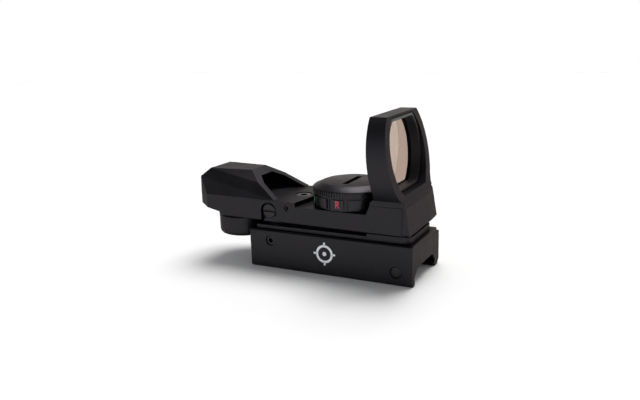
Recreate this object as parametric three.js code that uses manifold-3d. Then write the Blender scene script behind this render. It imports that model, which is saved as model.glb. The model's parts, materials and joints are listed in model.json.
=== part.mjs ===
// Open reflex sight ("red dot finder") with four reticles, on a clamp for a 21.2 mm accessory rail.
// Millimetres, +Z up, +X towards the lens and the target, so the shooter's eye is at -X.
// Everything is drawn with x = 0 at the rear face of the rail base and z = 0 at its underside.
// The last lines shift the whole sight so that the frame's origin is the middle of the rail seat.
import * as THREE from 'three';
import { ConvexGeometry } from 'three/addons/geometries/ConvexGeometry.js';
import { mergeVertices } from 'three/addons/utils/BufferGeometryUtils.js';
import Module from 'manifold-3d';

const wasm = await Module();
wasm.setup();

// ---------------------------------------------------------------- driving dimensions
const GAP = 0.1; // between pieces of one assembly that touch
const RUN = 0.05; // running clearance round a shaft
const THIN = 0.2; // small play under covers and springs
const FAR = 40; // longer than any piece, for cutting tools

const BASE = { length: 60.4, halfWidth: 12.4, top: 13.7, edge: 0.5, farWall: 8.9, flange: 1.5 };
const RAIL = { seat: 5.3, topHalf: 7.85, halfWidth: 10.75, lip: 9.9, lipMouth: 10.6, widestZ: 2.4, lipZ: 1.2 };
const JAW = { outer: 15.0, top: 12.0, foot: 1.8 };
const BOLT = {
  radius: 2.0, z: 4.4, frontX: 54.7, rearX: 5.7, rearTip: -9.0, headRadius: 3.8, headLength: 3.2,
  socket: 1.7, socketDepth: 2.0, slotRise: 0.2,
};
const POST = {
  x: 8.1, radius: 2.2, headRadius: 3.0, bottom: 7.4, headBottom: 18.6, top: 22.4,
  cone: 0.8, edge: 0.6, travel: 1.1,
};
const SET_SCREW = { z: 9.9, radius: 1.75, sunk: 0.4, socket: 0.95, socketDepth: 1.8 };
const PLATE = { rear: 2.0, front: 59.2, halfWidth: 10.8, corner: 3.0, low: 15.0, high: 15.9, raisedFrom: 44.0 };
const PIVOT = {
  x: 50.0, z: 19.2, pinRadius: 1.25, pinEnd: 12.8, pinSunk: 0.4,
  screwRadius: 2.0, screwHead: 3.2, headHeight: 1.3, socket: 1.3, chamber: 1.0,
};
const EAR = { halfLength: 3.0, inner: 4.2, outer: 6.8, top: 21.4 };

const BODY = { rear: -22.6, front: 57.4, low: 17.3, keel: 16.2, keelInset: 2.2, deck: 23.0, seam: 24.5 };
const STEP = { x: 20.0, sideX: 18.3, flatHalf: 3.0, sideHalf: 16.0 };
const LEDGE = { rear: 46.4, ramp: 45.0, z: 26.1 };
const REAR = { cornerX: -18.2, faceHalf: 8.9, faceBottom: 20.3, keelX: -13.0, keelTop: 18.4 };
const ROOF = { z: 33.0, rear: -19.6, front: -2.75, rearHalf: 6.3, frontHalf: 4.7 };
const MOUTH = { x: 10.8, half: 12.75 };
const SHOULDER = { z: 29.7, rearHalf: 9.4, frontX: 2.5, frontHalf: 9.4, faceHalf: 8.7, faceZ: 30.2 };
const HOUSING_WALL = 2.0;

const HOOD = { radius: 19.2, centre: 40.8, top: 54.4, topRear: 46.9, topFront: 52.5, footHalf: 13.7 };
const HOOD_FOOT = { rear: 46.5, z: 26.2, neckZ: 29.2, neckRear: 48.7, neckFront: 56.6, front: 58.6 };
const APRON = { rear: 57.5, front: 59.9, bottom: 16.6, half: 13.9, undercut: 11.6, lip: 1.0 };
const GLASS = { radius: 15.3, top: 53.0, bottom: 29.2, thick: 2.0, back: 0.3, tiltDeg: 4.0, x: 47.7 };
const BORE = { radius: 15.6, top: 53.3, bottom: 28.9, lipRadius: 14.4, lipTop: 52.2, lipBottom: 30.0 };
const RING = { depth: 3.2, wall: 0.9 };

const DIAL = {
  x: 34.5, radius: 13.5, bottom: 23.2, top: 27.3, floor: 24.2, pocket: 10.25, threadFrom: 25.6, clicks: 14,
};
const SCALLOP = { radius: 14.0, top: 31.3 }; // clearance round the dial in the ledge and the hood's foot
const SPIGOT = { radius: 5.2, bore: 3.2, bottom: 20.2, groove: 4.6, grooveLow: 21.25, grooveHigh: 21.85 };
const CAP = {
  radius: 13.6, rimLow: 27.45, rimTop: 29.5, crown: 30.9, crownRadius: 10.2, skirt: 10.75, skirtLow: 25.8,
};
const CAP_SLOT = { length: 12.8, width: 2.0, depth: 1.1 };
const CELL = { radius: 10.0, thick: 3.2, z: 24.45, button: 1.4, step: 0.35 };
const WELL = { radius: 10.0, upperRadius: 8.0, step: 20.0, ceiling: 22.15 };
const BOARD = { radius: 9.6, z: 17.9, thick: 1.0 };

const KNOB = { x: -9.9, radius: 9.5, bottom: 8.7, top: 15.85, round: 1.5, shaft: 2.5, shaftTop: 19.4 };
const KNOB_TAB = { halfWidth: 2.0, reach: 2.7, bottom: 9.9, top: 14.4 };
const KNOB_SCREW = {
  radius: 1.2, head: 2.2, sunk: 0.4, headHeight: 1.5, end: 21.4, socket: 1.1, socketDepth: 0.9,
};
const DRUM = {
  radius: 5.5, inner: 4.8, floor: 19.5, floorThick: 1.2, hub: 2.6, hubHeight: 1.0, top: 29.4, play: 0.5,
  aperture: 0.6, apertureZ: 27.2, spacing: 30,
};
const WINDAGE = { x: 8.1, z: 20.6, radius: 2.0, head: 2.5, recess: 3.15, headDepth: 1.6, sunk: 0.3, slot: 0.8 };
const ELEVATION = {
  x: 15.5, radius: 2.0, head: 2.9, headDepth: 1.5, tip: 15.65, socket: 1.4, socketDepth: 1.1,
};
const BALL = { radius: 0.75, hole: 0.85 };
const HOUSING_SCREW = {
  x: -17.2, y: 7.6, radius: 0.9, head: 1.8, headZ: 19.5, neckZ: 21.2, end: 27.2, boss: 1.7,
};
const HOOD_SCREW = { x: 54.6, y: 10.0, radius: 1.2, head: 2.2, headZ: 17.3, neckZ: 19.3, end: 27.9 };
const SIDES = [['right', -1], ['left', 1]]; // as the shooter sees them
const onSide = ({ x, y }, side) => [x, side * y];
const onBothSides = (screw) => SIDES.map(([, side]) => onSide(screw, side));

// ---------------------------------------------------------------- solids
const UNIT = {
  x: new THREE.Vector3(1, 0, 0),
  y: new THREE.Vector3(0, 1, 0),
  z: new THREE.Vector3(0, 0, 1),
};
const AXES = {
  x: new THREE.Matrix4().makeBasis(UNIT.y, UNIT.z, UNIT.x),
  y: new THREE.Matrix4().makeBasis(UNIT.z, UNIT.x, UNIT.y),
  z: new THREE.Matrix4(),
};

// A closed three.js geometry as a solid that can be joined and cut.
function solid(geometry) {
  geometry.deleteAttribute('normal');
  geometry.deleteAttribute('uv');
  const merged = mergeVertices(geometry, 1e-4);
  return new wasm.Manifold(new wasm.Mesh({
    numProp: 3,
    vertProperties: new Float32Array(merged.attributes.position.array),
    triVerts: new Uint32Array(merged.index.array),
  }));
}

// The solid back as a three.js geometry.
function geometryOf(body) {
  const mesh = body.getMesh();
  const geometry = new THREE.BufferGeometry();
  geometry.setAttribute('position', new THREE.BufferAttribute(mesh.vertProperties, 3));
  geometry.setIndex(new THREE.BufferAttribute(mesh.triVerts, 1));
  geometry.computeVertexNormals();
  return geometry;
}

// An outline pushed along an axis. Outlines are [y, z] along x, [z, x] along y and [x, y] along z.
function extrude(axis, outline, from, to) {
  const shape = new THREE.Shape(outline.map(([a, b]) => new THREE.Vector2(a, b)));
  const geometry = new THREE.ExtrudeGeometry(shape, { depth: to - from, bevelEnabled: false });
  geometry.translate(0, 0, from);
  geometry.applyMatrix4(AXES[axis]);
  return solid(geometry);
}

// A side view, [x, z] points, pushed across the whole width.
function sideView(points, half) {
  return extrude('y', points.map(([x, z]) => [z, x]), -half, half);
}

// A block between two corners.
function block([x0, y0, z0], [x1, y1, z1]) {
  const geometry = new THREE.BoxGeometry(x1 - x0, y1 - y0, z1 - z0);
  geometry.translate((x0 + x1) / 2, (y0 + y1) / 2, (z0 + z1) / 2);
  return solid(geometry);
}

// A round bar along an axis; at = its place in the outline coordinates of that axis.
function rod(axis, radius, from, to, at = [0, 0], sides = 24) {
  const geometry = new THREE.CylinderGeometry(radius, radius, to - from, sides);
  geometry.rotateX(Math.PI / 2);
  geometry.translate(at[0], at[1], (from + to) / 2);
  geometry.applyMatrix4(AXES[axis]);
  return solid(geometry);
}

// A bar with a hexagonal section, for sockets.
const hexBar = (axis, radius, from, to, at) => rod(axis, radius, from, to, at, 6);

// A turned shape from [radius, height] points that run anticlockwise, standing at (x, y).
function turned(points, [x, y], sides = 28) {
  const geometry = new THREE.LatheGeometry(points.map(([r, h]) => new THREE.Vector2(r, h)), sides);
  geometry.rotateX(Math.PI / 2);
  geometry.translate(x, y, 0);
  return solid(geometry);
}

// A ring with a rectangular section.
function ring(inner, outer, low, high, at, sides = 32) {
  return turned([[inner, low], [outer, low], [outer, high], [inner, high], [inner, low]], at, sides);
}

function ball(radius, [x, y, z]) {
  const geometry = new THREE.SphereGeometry(radius, 10, 6);
  geometry.translate(x, y, z);
  return solid(geometry);
}

const hull = (points) => solid(new ConvexGeometry(points.map(([x, y, z]) => new THREE.Vector3(x, y, z))));
const mirrored = (points) => points.flatMap(([x, y, z]) => [[x, y, z], [x, -y, z]]);
const union = (...solids) => solids.reduce((sum, next) => sum.add(next));
const cut = (body, ...tools) => tools.reduce((rest, tool) => rest.subtract(tool), body);

// Helix for the coil springs.
class Helix extends THREE.Curve {
  constructor(radius, height, turns) {
    super();
    Object.assign(this, { radius, height, turns });
  }

  getPoint(t, target = new THREE.Vector3()) {
    const angle = 2 * Math.PI * this.turns * t;
    return target.set(this.radius * Math.cos(angle), this.radius * Math.sin(angle), this.height * t);
  }
}

// A coil spring of round wire standing on z = 0 along +Z.
function coilSpring({ radius, wire, height, turns }) {
  const section = new THREE.Shape().absarc(0, 0, wire / 2, 0, 2 * Math.PI);
  const path = new Helix(radius, height - wire, turns);
  const sweep = { extrudePath: path, steps: turns * 9, curveSegments: 2 };
  const geometry = new THREE.ExtrudeGeometry(section, sweep);
  geometry.translate(0, 0, wire / 2);
  return geometry;
}

// ---------------------------------------------------------------- outlines
// The body widens a little from the emitter to the lens.
const bodyHalf = (x) => 12.3 + 0.028 * x;

// A circle with its top and bottom cut flat, as [y, z] points.
function barrelOutline(radius, top, bottom, steps = 22) {
  const from = Math.asin((bottom - HOOD.centre) / radius);
  const to = Math.asin((top - HOOD.centre) / radius);
  const arc = Array.from({ length: steps + 1 }, (_, i) => from + ((to - from) * i) / steps);
  const right = arc.map((a) => [radius * Math.cos(a), HOOD.centre + radius * Math.sin(a)]);
  const left = right.map(([y, z]) => [-y, z]).reverse();
  return [...right, ...left];
}

// ---------------------------------------------------------------- rail base and clamp

// The seat is open above each clamp screw, to the screw's full width.
function seatSlot(x) {
  const half = BOLT.radius + GAP;
  return block([x - half, -RAIL.topHalf, BOLT.z], [x + half, RAIL.topHalf, RAIL.seat + BOLT.slotRise]);
}

function railBase() {
  const { halfWidth, top, edge, farWall, flange, length } = BASE;
  const body = extrude('x', [
    [-halfWidth, edge], [-halfWidth + edge, 0], [-RAIL.lipMouth, 0], [-RAIL.lip, RAIL.lipZ],
    [-RAIL.halfWidth, RAIL.widestZ], [-RAIL.topHalf, RAIL.seat], [RAIL.topHalf, RAIL.seat],
    [farWall, RAIL.seat - (farWall - RAIL.topHalf)], [farWall, top - flange], [halfWidth, top - flange],
    [halfWidth, top - edge], [halfWidth - edge, top], [-halfWidth + edge, top], [-halfWidth, top - edge],
  ].reverse(), 0, length);
  return cut(
    body,
    rod('y', BOLT.radius + RUN, -FAR, FAR, [BOLT.z, BOLT.frontX]),
    rod('y', BOLT.radius + RUN, BOLT.rearTip - THIN, FAR, [BOLT.z, BOLT.rearX]),
    ...[BOLT.frontX, BOLT.rearX].map(seatSlot),
    rod('y', SET_SCREW.radius + RUN, -FAR, -POST.radius + 0.3, [SET_SCREW.z, POST.x]),
    rod('z', POST.radius + RUN, POST.bottom - GAP, FAR, [POST.x, 0]),
    rod('z', PIVOT.screwRadius + RUN, POST.bottom - GAP, FAR, [PIVOT.x, 0]),
  );
}

function clampJaw() {
  const inner = BASE.farWall + THIN;
  const body = extrude('x', [
    [inner, RAIL.seat - (inner - RAIL.topHalf)], [RAIL.halfWidth, RAIL.widestZ], [RAIL.lip, RAIL.lipZ],
    [RAIL.lipMouth, 0], [JAW.outer - JAW.foot, 0], [JAW.outer, JAW.foot], [JAW.outer, JAW.top - BASE.edge],
    [JAW.outer - BASE.edge, JAW.top], [inner, JAW.top],
  ], 0, BASE.length);
  const holes = [BOLT.frontX, BOLT.rearX].map((x) => rod('y', BOLT.radius + RUN, 0, FAR, [BOLT.z, x]));
  return cut(body, ...holes);
}

// A cap screw across the base: its head is outside the jaw and its tip inside the near wall.
function clampBolt(x, tip) {
  const head = JAW.outer + GAP;
  const end = head + BOLT.headLength;
  const at = [BOLT.z, x];
  return cut(
    union(rod('y', BOLT.radius, tip, head + GAP, at), rod('y', BOLT.headRadius, head, end, at)),
    hexBar('y', BOLT.socket, end - BOLT.socketDepth, FAR, at),
  );
}

function baseSetScrew() {
  const at = [SET_SCREW.z, POST.x];
  const face = -BASE.halfWidth + SET_SCREW.sunk;
  return cut(
    rod('y', SET_SCREW.radius, face, -POST.radius - GAP, at),
    hexBar('y', SET_SCREW.socket, -FAR, face + SET_SCREW.socketDepth, at),
  );
}

function adjustingPost() {
  return turned([
    [0, POST.bottom], [POST.radius, POST.bottom], [POST.radius, POST.headBottom - POST.cone],
    [POST.headRadius, POST.headBottom], [POST.headRadius, POST.top - POST.edge],
    [POST.headRadius - POST.edge, POST.top],
    [0, POST.top],
  ], [POST.x, 0]);
}

// ---------------------------------------------------------------- pivot plate
function pivotPlate() {
  const { rear, front, halfWidth, corner, low, high, raisedFrom } = PLATE;
  const bottom = BASE.top + RUN;
  const plan = new THREE.Shape();
  plan.moveTo(rear, -halfWidth);
  plan.lineTo(front - corner, -halfWidth);
  plan.absarc(front - corner, -halfWidth + corner, corner, -Math.PI / 2, 0);
  plan.absarc(front - corner, halfWidth - corner, corner, 0, Math.PI / 2);
  plan.lineTo(rear, halfWidth);
  const outline = plan.getPoints(6).map(({ x, y }) => [x, y]);
  const ears = [-1, 1].map((side) => {
    const [near, far] = side < 0 ? [-EAR.outer, -EAR.inner] : [EAR.inner, EAR.outer];
    return block([PIVOT.x - EAR.halfLength, near, low], [PIVOT.x + EAR.halfLength, far, EAR.top]);
  });
  const slab = cut(
    extrude('z', outline, bottom, high),
    block([-FAR, -FAR, low], [raisedFrom, FAR, FAR]),
  );
  return cut(
    union(slab, ...ears),
    rod('z', PIVOT.screwRadius + RUN, 0, FAR, [PIVOT.x, 0]),
    rod('y', PIVOT.pinRadius + RUN, -FAR, FAR, [PIVOT.z, PIVOT.x]),
    rod('z', POST.radius + POST.travel, 0, FAR, [POST.x, 0]),
  );
}

function yawPivotScrew() {
  const { screwRadius, screwHead, headHeight, socket, x } = PIVOT;
  const seat = PLATE.high + GAP;
  const body = turned([
    [0, POST.bottom], [screwRadius, POST.bottom], [screwRadius, seat], [screwHead, seat],
    [screwHead, seat + headHeight], [0, seat + headHeight],
  ], [x, 0]);
  return cut(body, hexBar('z', socket, seat + THIN, FAR, [x, 0]));
}

// Springs between plate and body, which take up the play of the elevation screw.
const LIFT_SPRING = { x: 20.0, y: 5.6, radius: 1.7, wire: 0.5, height: 3.8, turns: 4 };
const SPRING_POCKET = 2.3;

function liftSpring(side) {
  const geometry = coilSpring(LIFT_SPRING);
  geometry.translate(LIFT_SPRING.x, side * LIFT_SPRING.y, PLATE.low + GAP);
  return solid(geometry);
}

// ---------------------------------------------------------------- body

// The step to the dial's deck slants back towards each side.
function stepCorner(side) {
  const past = STEP.x + 1;
  const corner = [
    [past, side * STEP.flatHalf], [STEP.x, side * STEP.flatHalf],
    [STEP.sideX, side * STEP.sideHalf], [past, side * STEP.sideHalf],
  ];
  return extrude('z', side < 0 ? corner.reverse() : corner, BODY.deck, FAR);
}

function bodyShell() {
  const { rear, front, low, keel, keelInset, deck, seam } = BODY;
  const side = sideView([
    [rear, REAR.faceBottom], [REAR.keelX, REAR.keelTop], [REAR.keelX, low], [front, low],
    [front, LEDGE.z], [LEDGE.rear, LEDGE.z], [LEDGE.ramp, deck], [STEP.x, deck], [STEP.x, seam], [rear, seam],
  ], FAR);
  const plan = extrude('z', [
    [rear, -REAR.faceHalf], [REAR.cornerX, -bodyHalf(REAR.cornerX)], [front, -bodyHalf(front)],
    [front, bodyHalf(front)], [REAR.cornerX, bodyHalf(REAR.cornerX)], [rear, REAR.faceHalf],
  ], 0, FAR);
  const keelSolid = hull(mirrored([
    [REAR.keelX, bodyHalf(REAR.keelX), low + GAP], [front, bodyHalf(front), low + GAP],
    [REAR.keelX, bodyHalf(REAR.keelX), low], [front, bodyHalf(front), low],
    [REAR.keelX + keelInset, bodyHalf(REAR.keelX) - keelInset, keel],
    [front, bodyHalf(front) - keelInset, keel],
  ]));
  const boss = rod('z', KNOB.radius - 0.4, KNOB.top + GAP, BODY.deck, [KNOB.x, 0], 36);
  const shell = cut(union(side.intersect(plan), keelSolid, boss), stepCorner(-1), stepCorner(1));
  return cut(shell, ...adjusterCuts(), ...dialCuts(), ...selectorCuts(), ...pivotCuts());
}

// Room for the adjusting post, the windage and elevation screws, their springs and the lock screw.
function adjusterCuts() {
  const recess = WINDAGE.recess;
  const face = -bodyHalf(WINDAGE.x) + WINDAGE.headDepth;
  const elevationSeat = BODY.seam - ELEVATION.headDepth - 0.3;
  const pockets = [-1, 1].map((side) => (
    rod('z', SPRING_POCKET, 0, 19.9, [LIFT_SPRING.x, side * LIFT_SPRING.y], 24)
  ));
  return [
    rod('z', POST.headRadius + POST.travel, 0, POST.top + 1, [POST.x, 0]),
    rod('y', WINDAGE.radius + RUN, -FAR, 0, [WINDAGE.z, WINDAGE.x]),
    rod('y', recess, -FAR, face, [WINDAGE.z, WINDAGE.x]),
    block([WINDAGE.x - recess, -FAR, 0], [WINDAGE.x + recess, face, WINDAGE.z]),
    rod('y', WINDAGE_SPRING.radius + 0.6, 0, 10.2, [WINDAGE.z, WINDAGE.x], 24),
    rod('z', ELEVATION.radius + RUN, 0, FAR, [ELEVATION.x, 0]),
    rod('z', ELEVATION.head + THIN, elevationSeat, FAR, [ELEVATION.x, 0]),
    rod('y', LOCK_SCREW.radius + RUN, -FAR, 0, [LOCK_SCREW.z, ELEVATION.x], 24),
    ...pockets,
  ];
}

// The well under the brightness dial, open from below, and the hole for the dial's detent.
function dialCuts() {
  const centre = [DIAL.x, 0];
  return [
    rod('z', WELL.radius, 0, WELL.step, centre, 36),
    rod('z', WELL.upperRadius, 0, WELL.ceiling, centre, 36),
    rod('z', SPIGOT.radius + RUN, 0, FAR, centre, 36),
    rod('z', BALL.hole, DIAL_DETENT.z - 2.6, FAR, [DIAL.x + DIAL_DETENT.offset, 0], 16),
    cut(
      rod('z', SCALLOP.radius, BODY.deck, FAR, centre, 48),
      block([-FAR, -FAR, 0], [STEP.x + 0.5, FAR, FAR]),
    ),
  ];
}

// A stepped hole from below for a cap screw.
function counterbore({ radius, head, neckZ }, at) {
  return union(rod('z', radius + GAP, 0, FAR, at, 20), rod('z', head + THIN, 0, neckZ + GAP, at, 20));
}

// The chamber of the reticle drum, the knob's shaft hole, its detent and the ribbon's groove.
function selectorCuts() {
  const centre = [KNOB.x, 0];
  return [
    rod('z', DRUM.radius + DRUM.play, DRUM.floor - THIN, FAR, centre, 40),
    rod('z', KNOB.shaft + RUN, 0, FAR, centre),
    rod('z', BALL.hole, 0, 18.65, [KNOB.x + KNOB_DETENT.offset, 0], 16),
    ...ribbonCuts(),
    ...onBothSides(HOUSING_SCREW).map((at) => counterbore(HOUSING_SCREW, at)),
  ];
}

// The chamber of the pivot ears, the bore of their pin and the hood's screw holes.
function pivotCuts() {
  const clear = PIVOT.chamber;
  return [
    block(
      [PIVOT.x - EAR.halfLength - clear, -EAR.outer - clear, 0],
      [PIVOT.x + EAR.halfLength + clear, EAR.outer + clear, EAR.top + clear],
    ),
    rod('y', PIVOT.pinRadius + RUN, -PIVOT.pinEnd - THIN, FAR, [PIVOT.z, PIVOT.x]),
    ...onBothSides(HOOD_SCREW).map((at) => counterbore(HOOD_SCREW, at)),
  ];
}

function pivotPin() {
  const end = bodyHalf(PIVOT.x) - PIVOT.pinSunk;
  return rod('y', PIVOT.pinRadius, -PIVOT.pinEnd, end, [PIVOT.z, PIVOT.x]);
}

// ---------------------------------------------------------------- adjusters
function windageScrew() {
  const at = [WINDAGE.z, WINDAGE.x];
  const face = -bodyHalf(WINDAGE.x) + WINDAGE.sunk;
  const headEnd = face + WINDAGE.headDepth - WINDAGE.sunk - GAP;
  const tip = -POST.headRadius - POST.travel + THIN;
  return cut(
    union(rod('y', WINDAGE.head, face, headEnd, at), rod('y', WINDAGE.radius, face + 0.5, tip, at)),
    block(
      [WINDAGE.x - FAR, -FAR, WINDAGE.z - WINDAGE.slot / 2],
      [WINDAGE.x + FAR, face + WINDAGE.slot, WINDAGE.z + WINDAGE.slot / 2],
    ),
  );
}

const WINDAGE_SPRING = { radius: 1.8, wire: 0.5, height: 5.8, turns: 5 };

function windageSpring() {
  const geometry = coilSpring(WINDAGE_SPRING);
  geometry.rotateX(-Math.PI / 2);
  geometry.translate(WINDAGE.x, POST.headRadius + POST.travel + THIN, WINDAGE.z);
  return solid(geometry);
}

function elevationScrew() {
  const at = [ELEVATION.x, 0];
  const top = BODY.seam - THIN;
  return cut(
    union(
      rod('z', ELEVATION.head, top - ELEVATION.headDepth, top, at),
      rod('z', ELEVATION.radius, ELEVATION.tip, top - 0.5, at),
    ),
    hexBar('z', ELEVATION.socket, top - ELEVATION.socketDepth, FAR, at),
  );
}

// Grub screw in the near side wall that locks the elevation screw.
const LOCK_SCREW = { z: 22.3, radius: 1.0, socket: 0.55 };

function lockScrew() {
  const at = [LOCK_SCREW.z, ELEVATION.x];
  const face = -bodyHalf(ELEVATION.x) + 0.4;
  return cut(
    rod('y', LOCK_SCREW.radius, face, -ELEVATION.head - 0.3, at, 24),
    hexBar('y', LOCK_SCREW.socket, -FAR, face + 1.2, at),
  );
}

// ---------------------------------------------------------------- emitter housing

// Faceted shape of the housing, made smaller by inset; reach moves its mouth forward.
function housingShape(inset, floor, reach = 0) {
  const shoulder = SHOULDER.z - inset / 2;
  return hull(mirrored([
    [MOUTH.x + reach, MOUTH.half - inset, floor],
    [REAR.cornerX + inset / 2, bodyHalf(REAR.cornerX) - inset, floor],
    [BODY.rear + inset, REAR.faceHalf - inset, floor],
    [SHOULDER.frontX + reach, SHOULDER.frontHalf - inset, shoulder],
    [REAR.cornerX + inset / 2, SHOULDER.rearHalf - inset, shoulder],
    [BODY.rear + inset, SHOULDER.faceHalf - inset, SHOULDER.faceZ - inset / 2],
    [ROOF.rear + inset / 2, ROOF.rearHalf - inset / 2, ROOF.z - inset],
    [ROOF.front + reach, ROOF.frontHalf - inset / 2, ROOF.z - inset],
  ]));
}

function emitterHousing() {
  const floor = BODY.seam + GAP;
  const shell = cut(housingShape(0, floor), housingShape(HOUSING_WALL, floor - 1, 6));
  const { boss, end, radius } = HOUSING_SCREW;
  const places = onBothSides(HOUSING_SCREW);
  return cut(
    union(shell, ...places.map((at) => rod('z', boss, floor, end + 1.2, at, 20))),
    ...places.map((at) => rod('z', radius + RUN, 0, end + 0.4, at, 20)),
  );
}

// Partition round the reticle drum, which keeps stray light out of the mouth.
const BAFFLE = { rear: -7.4, front: -6.5 };

function emitterBaffle() {
  const play = 0.3;
  const plate = block([BAFFLE.rear, -FAR, BODY.seam + GAP], [BAFFLE.front, FAR, ROOF.z]);
  const inside = housingShape(HOUSING_WALL + play, BODY.seam + GAP - 1);
  return cut(plate.intersect(inside), rod('z', DRUM.radius + 0.4, 0, DRUM.top + 0.3, [KNOB.x, 0], 28));
}

// A cap screw that points upwards, with a socket in its head.
function capScrew({ radius, head, headZ, neckZ, end }, at) {
  return cut(
    union(rod('z', head, headZ, neckZ, at, 20), rod('z', radius, headZ + 1, end, at, 20)),
    hexBar('z', head / 2, 0, neckZ - 0.7, at),
  );
}

// ---------------------------------------------------------------- light source and reticle selector
const LED_BOARD = { rear: -14.6, front: -8.2, half: 3.6, bottom: 30.0, top: 30.8 };
const LED_HOLDER = { rear: -12.6, wallFront: -10.9, footFront: -9.6, half: 1.8, bottom: 25.2, foot: 0.3 };
const LED = { flange: 1.7, rear: -10.8, flangeFront: -10.2, radius: 1.45, front: -7.8 };

function ledBoard() {
  const { rear, front, half, bottom, top } = LED_BOARD;
  return block([rear, -half, bottom], [front, half, top]);
}

function ledHolder() {
  const { rear, wallFront, footFront, half, bottom, foot } = LED_HOLDER;
  return union(
    block([rear, -half, bottom], [wallFront, half, LED_BOARD.bottom - GAP]),
    block([rear, -half, bottom], [footFront, half, bottom + foot]),
  );
}

function led() {
  const at = [0, DRUM.apertureZ];
  const flange = rod('x', LED.flange, LED.rear, LED.flangeFront, at, 24);
  const barrel = rod('x', LED.radius, LED.flangeFront - GAP, LED.front, at, 24);
  return union(flange, barrel, ball(LED.radius, [LED.front, 0, DRUM.apertureZ]));
}

// Printed ribbon from the light source to the switch board, through the floor and under the deck.
const RIBBON = {
  rear: -10.4, front: -8.6, thick: 0.25, low: 17.3, bend: 25.25, top: 29.65, inner: -6.2, outer: -8.85,
  play: 0.4, edge: -10.1, boardEnd: -6.6, branch: 1.7, branchFromDial: -5.8, ledEnd: -3.9,
};

function ledRibbon() {
  const { rear, front, thick, low, bend, top, inner, outer } = RIBBON;
  const { edge, boardEnd, branch, branchFromDial, ledEnd } = RIBBON;
  const end = DIAL.x + branchFromDial;
  return union(
    block([rear, inner, top], [front, ledEnd, top + thick]),
    block([rear, inner, bend], [front, inner + thick, top + thick]),
    block([rear, outer, bend], [front, inner + thick, bend + thick]),
    block([rear, outer, low], [front, outer + thick, bend + thick]),
    block([rear, edge, low], [end, outer + thick, low + thick]),
    block([end - branch, edge, low], [end, boardEnd, low + thick]),
  );
}

// Room for the ribbon: a slot through the floor, a groove under it and the branch to the board.
function ribbonCuts() {
  const { rear, front, outer, play, edge, branch, branchFromDial } = RIBBON;
  const end = DIAL.x + branchFromDial + play;
  const ceiling = 18.0;
  return [
    block([rear - play, outer - play, 0], [front + play, outer + 2 * play, FAR]),
    block([rear - play, edge - play, 0], [end, outer + 2 * play, ceiling]),
    block([end - branch - 2 * play, edge - play, 0], [end, -6.0, ceiling]),
  ];
}

function selectorKnob() {
  const { radius, bottom, top, round, shaft, shaftTop, x } = KNOB;
  const corner = [0, 1, 2, 3].map((i) => {
    const a = (i / 3) * (Math.PI / 2);
    return [radius - round + round * Math.sin(a), bottom + round - round * Math.cos(a)];
  });
  const body = turned([
    [0, bottom], ...corner, [radius, top], [shaft, top], [shaft, shaftTop], [0, shaftTop],
  ], [x, 0], 36);
  const tab = block(
    [x - KNOB_TAB.halfWidth, radius - 1, KNOB_TAB.bottom],
    [x + KNOB_TAB.halfWidth, radius + KNOB_TAB.reach, KNOB_TAB.top],
  );
  const dimples = [0, 1, 2, 3].map((i) => {
    const a = THREE.MathUtils.degToRad(-i * DRUM.spacing);
    const place = [x + KNOB_DETENT.offset * Math.cos(a), KNOB_DETENT.offset * Math.sin(a)];
    return hexBar('z', BALL.hole, top - DETENT.dent, FAR, place);
  });
  return cut(
    union(body, tab),
    detentRace(KNOB_DETENT.offset, top - DETENT.race, top + 1, [x, 0]),
    ...dimples,
    rod('z', KNOB_SCREW.radius + RUN, 0, FAR, [x, 0], 20),
    rod('z', KNOB_SCREW.head + THIN, 0, bottom + KNOB_SCREW.sunk + KNOB_SCREW.headHeight + GAP, [x, 0], 24),
  );
}

function selectorScrew() {
  const { radius, head, sunk, headHeight, end, socket, socketDepth } = KNOB_SCREW;
  const low = KNOB.bottom + sunk;
  return cut(
    turned([
      [0, low], [head, low], [head, low + headHeight], [radius, low + headHeight], [radius, end], [0, end],
    ], [KNOB.x, 0], 24),
    hexBar('z', socket, 0, low + socketDepth, [KNOB.x, 0]),
  );
}

function reticleDrum() {
  const { radius, inner, floor, floorThick, hub, hubHeight, top } = DRUM;
  const { aperture, apertureZ, spacing } = DRUM;
  const inside = floor + floorThick;
  const body = turned([
    [0, floor], [radius, floor], [radius, top], [inner, top], [inner, inside], [hub, inside],
    [hub, inside + hubHeight], [0, inside + hubHeight],
  ], [KNOB.x, 0]);
  const holes = [0, 1, 2, 3].map((i) => {
    const geometry = new THREE.CylinderGeometry(aperture, aperture, radius, 8);
    geometry.rotateZ(Math.PI / 2);
    geometry.translate(radius / 2 + 2, 0, 0);
    geometry.rotateZ(THREE.MathUtils.degToRad(-i * spacing));
    geometry.translate(KNOB.x, 0, apertureZ);
    return solid(geometry);
  });
  return cut(body, ...holes, rod('z', KNOB_SCREW.radius + RUN, 0, FAR, [KNOB.x, 0], 20));
}

// A ball runs in a shallow race and drops into a dent in its floor at each click.
const DETENT = { race: 0.45, dent: 0.55 };
const KNOB_DETENT = { offset: 7.4, z: 16.1, springZ: 16.95 };
const DIAL_DETENT = { offset: 9.3, z: 22.95, springZ: 20.5 };
const DETENT_SPRING = { radius: 0.5, wire: 0.22, height: 1.6, turns: 4 };

const detentRace = (offset, low, high, at) => ring(offset - BALL.hole, offset + BALL.hole, low, high, at, 36);

const detentBall = (x, { offset, z }) => ball(BALL.radius, [x + offset, 0, z]);

function detentSpring(x, { offset, springZ }) {
  const geometry = coilSpring(DETENT_SPRING);
  geometry.translate(x + offset, 0, springZ);
  return solid(geometry);
}

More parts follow.
